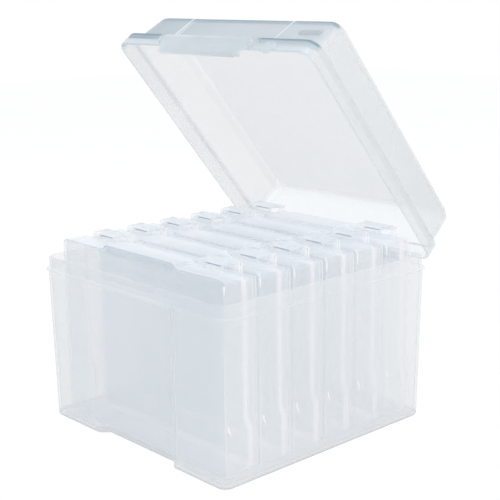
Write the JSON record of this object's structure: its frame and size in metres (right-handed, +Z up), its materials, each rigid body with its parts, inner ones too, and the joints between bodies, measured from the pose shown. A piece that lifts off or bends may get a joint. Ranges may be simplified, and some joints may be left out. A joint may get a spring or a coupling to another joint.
{
  "type": "photo keeper case",
  "caption": "Clear box with a deep hinged lid and a front latch, holding a row of slim latching inner cases stood on edge.",
  "frame": {"origin": "middle of the box's underside, on the surface that it stands on", "axes": "+Z up, +X to the right as seen from the latch side, the front with the latch faces -Y"},
  "size_m": [0.2138, 0.2506, 0.3117],
  "materials": {
    "box_plastic": "clear, slightly milky, glossy",
    "lid_plastic": "clear, slightly milky, glossy",
    "latch_plastic": "clear with a blue-grey cast, glossy",
    "case_plastic": "clear, slightly milky, glossy",
    "cover_plastic": "clear, slightly milky, glossy",
    "snap_plastic": "clear, glossy"
  },
  "bodies": {
    "base": {"base": "box_plastic"},
    "lid": {"lid": "lid_plastic"},
    "lid_latch": {"lid_latch": "latch_plastic"},
    "case_1": {"case_1_tray": "case_plastic", "case_1_cover": "cover_plastic"},
    "case_1_latch_left": {"case_1_latch_left": "snap_plastic"},
    "case_1_latch_right": {"case_1_latch_right": "snap_plastic"},
    "case_2": {"case_2_tray": "case_plastic", "case_2_cover": "cover_plastic"},
    "case_2_latch_left": {"case_2_latch_left": "snap_plastic"},
    "case_2_latch_right": {"case_2_latch_right": "snap_plastic"},
    "case_3": {"case_3_tray": "case_plastic", "case_3_cover": "cover_plastic"},
    "case_3_latch_left": {"case_3_latch_left": "snap_plastic"},
    "case_3_latch_right": {"case_3_latch_right": "snap_plastic"},
    "case_4": {"case_4_tray": "case_plastic", "case_4_cover": "cover_plastic"},
    "case_4_latch_left": {"case_4_latch_left": "snap_plastic"},
    "case_4_latch_right": {"case_4_latch_right": "snap_plastic"},
    "case_5": {"case_5_tray": "case_plastic", "case_5_cover": "cover_plastic"},
    "case_5_latch_left": {"case_5_latch_left": "snap_plastic"},
    "case_5_latch_right": {"case_5_latch_right": "snap_plastic"},
    "case_6": {"case_6_tray": "case_plastic", "case_6_cover": "cover_plastic"},
    "case_6_latch_left": {"case_6_latch_left": "snap_plastic"},
    "case_6_latch_right": {"case_6_latch_right": "snap_plastic"}
  },
  "joints": [
    {"name": "lid_hinge", "type": "hinge", "parent": "base", "child": "lid", "pos_m": [0, 0.11255, 0.1226], "axis": [-1, 0, 0], "range_deg": [-50.45, 54.55]},
    {"name": "lid_latch_hinge", "type": "hinge", "parent": "lid", "child": "lid_latch", "pos_m": [0, -0.02286, 0.2996], "axis": [-1, 0, 0], "range_deg": [0, 60]},
    {"name": "case_1_lift", "type": "slide", "parent": "base", "child": "case_1", "axis": [0, 0, 1], "range_m": [0, 0.13]},
    {"name": "case_1_snap_left", "type": "hinge", "parent": "case_1", "child": "case_1_latch_left", "pos_m": [-0.0625, -0.06525, 0.1497], "axis": [-1, 0, 0], "range_deg": [0, 60]},
    {"name": "case_1_snap_right", "type": "hinge", "parent": "case_1", "child": "case_1_latch_right", "pos_m": [0.0625, -0.06525, 0.1497], "axis": [-1, 0, 0], "range_deg": [0, 60]},
    {"name": "case_2_lift", "type": "slide", "parent": "base", "child": "case_2", "axis": [0, 0, 1], "range_m": [0, 0.13]},
    {"name": "case_2_snap_left", "type": "hinge", "parent": "case_2", "child": "case_2_latch_left", "pos_m": [-0.0625, -0.03225, 0.1497], "axis": [-1, 0, 0], "range_deg": [0, 60]},
    {"name": "case_2_snap_right", "type": "hinge", "parent": "case_2", "child": "case_2_latch_right", "pos_m": [0.0625, -0.03225, 0.1497], "axis": [-1, 0, 0], "range_deg": [0, 60]},
    {"name": "case_3_lift", "type": "slide", "parent": "base", "child": "case_3", "axis": [0, 0, 1], "range_m": [0, 0.13]},
    {"name": "case_3_snap_left", "type": "hinge", "parent": "case_3", "child": "case_3_latch_left", "pos_m": [-0.0625, 0.00075, 0.1497], "axis": [-1, 0, 0], "range_deg": [0, 60]},
    {"name": "case_3_snap_right", "type": "hinge", "parent": "case_3", "child": "case_3_latch_right", "pos_m": [0.0625, 0.00075, 0.1497], "axis": [-1, 0, 0], "range_deg": [0, 60]},
    {"name": "case_4_lift", "type": "slide", "parent": "base", "child": "case_4", "axis": [0, 0, 1], "range_m": [0, 0.13]},
    {"name": "case_4_snap_left", "type": "hinge", "parent": "case_4", "child": "case_4_latch_left", "pos_m": [-0.0625, 0.03375, 0.1497], "axis": [-1, 0, 0], "range_deg": [0, 60]},
    {"name": "case_4_snap_right", "type": "hinge", "parent": "case_4", "child": "case_4_latch_right", "pos_m": [0.0625, 0.03375, 0.1497], "axis": [-1, 0, 0], "range_deg": [0, 60]},
    {"name": "case_5_lift", "type": "slide", "parent": "base", "child": "case_5", "axis": [0, 0, 1], "range_m": [0, 0.09]},
    {"name": "case_5_snap_left", "type": "hinge", "parent": "case_5", "child": "case_5_latch_left", "pos_m": [-0.0625, 0.06675, 0.1497], "axis": [-1, 0, 0], "range_deg": [0, 60]},
    {"name": "case_5_snap_right", "type": "hinge", "parent": "case_5", "child": "case_5_latch_right", "pos_m": [0.0625, 0.06675, 0.1497], "axis": [-1, 0, 0], "range_deg": [0, 60]},
    {"name": "case_6_lift", "type": "slide", "parent": "base", "child": "case_6", "axis": [0, 0, 1], "range_m": [0, 0.05]},
    {"name": "case_6_snap_left", "type": "hinge", "parent": "case_6", "child": "case_6_latch_left", "pos_m": [-0.0625, 0.09975, 0.1497], "axis": [-1, 0, 0], "range_deg": [0, 60]},
    {"name": "case_6_snap_right", "type": "hinge", "parent": "case_6", "child": "case_6_latch_right", "pos_m": [0.0625, 0.09975, 0.1497], "axis": [-1, 0, 0], "range_deg": [0, 60]}
  ]
}
